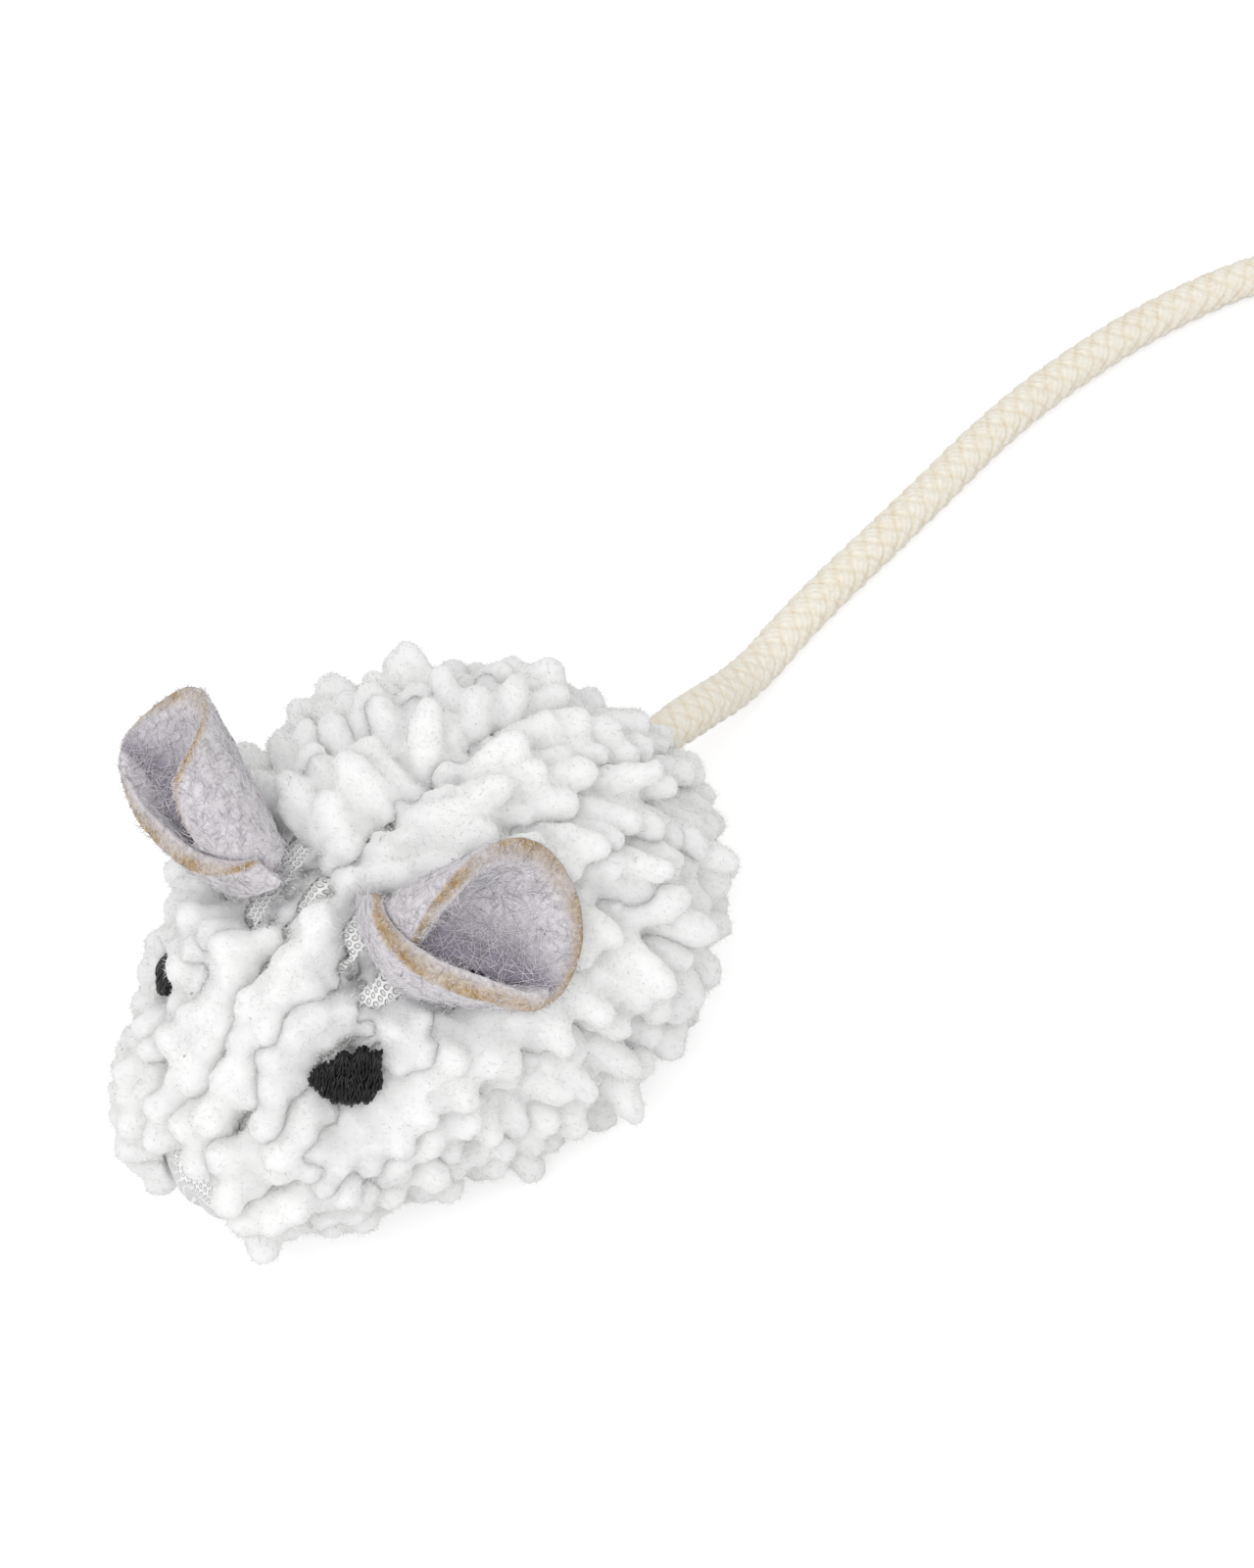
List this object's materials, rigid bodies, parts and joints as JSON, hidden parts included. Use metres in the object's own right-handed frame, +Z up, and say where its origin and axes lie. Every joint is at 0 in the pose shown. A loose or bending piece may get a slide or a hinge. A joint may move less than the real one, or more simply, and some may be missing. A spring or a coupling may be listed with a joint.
{
  "type": "catnip toy mouse",
  "caption": "Stuffed plush mouse covered in soft noodle pile, with rolled felt ears, embroidered eyes and a rope tail, resting on a flat belly.",
  "frame": {"origin": "centre of the flat belly face that the mouse rests on", "axes": "+Z up; -Y towards the nose, +Y towards the tail; +X to the mouse's own left"},
  "size_m": [0.0725, 0.3238, 0.0647],
  "materials": {
    "noodle_plush": "soft white microfibre pile",
    "backing_net": "white knitted net over a pale grey lining",
    "grey_felt": "grey lilac felt with singed tan edges",
    "black_thread": "black embroidery thread",
    "cotton_rope": "cream braided cotton",
    "fibre_fill": "loose white fibre",
    "pouch_fabric": "unbleached woven cotton",
    "dried_herb": "dried crushed leaf"
  },
  "bodies": {
    "body": {"catnip": "dried_herb", "cover_belly": "backing_net", "cover_left": "backing_net", "cover_right": "backing_net", "eye_left": "black_thread", "eye_right": "black_thread", "filling_front": "fibre_fill", "filling_rear": "fibre_fill", "noodle_row_left_1": "noodle_plush", "noodle_row_left_2": "noodle_plush", "noodle_row_left_3": "noodle_plush", "noodle_row_left_4": "noodle_plush", "noodle_row_left_5": "noodle_plush", "noodle_row_left_6": "noodle_plush", "noodle_row_left_7": "noodle_plush", "noodle_row_right_1": "noodle_plush", "noodle_row_right_2": "noodle_plush", "noodle_row_right_3": "noodle_plush", "noodle_row_right_4": "noodle_plush", "noodle_row_right_5": "noodle_plush", "noodle_row_right_6": "noodle_plush", "noodle_row_right_7": "noodle_plush", "pouch_lower": "pouch_fabric", "pouch_upper": "pouch_fabric", "tail_anchor_knot": "cotton_rope"},
    "left_ear": {"ear_left": "grey_felt"},
    "right_ear": {"ear_right": "grey_felt"},
    "tail": {"tail_rope": "cotton_rope", "tail_end_knot": "cotton_rope"}
  },
  "joints": [
    {"name": "left_ear_flap", "type": "hinge", "parent": "body", "child": "left_ear", "pos_m": [0.01352, -0.01688, 0.04804], "axis": [-0.2863, -0.2133, 0.9341], "range_deg": [-8.5, 5.5], "stiffness_Nm_per_rad": 0.0004},
    {"name": "right_ear_flap", "type": "hinge", "parent": "body", "child": "right_ear", "pos_m": [-0.01209, -0.01703, 0.04713], "axis": [0.5912, -0.4344, 0.6795], "range_deg": [-5.5, 8.5], "stiffness_Nm_per_rad": 0.0004},
    {"name": "tail_swing", "type": "hinge", "parent": "body", "child": "tail", "pos_m": [0, 0.0445, 0.0212], "axis": [0, 0, 1], "range_deg": [-23, 23]}
  ]
}
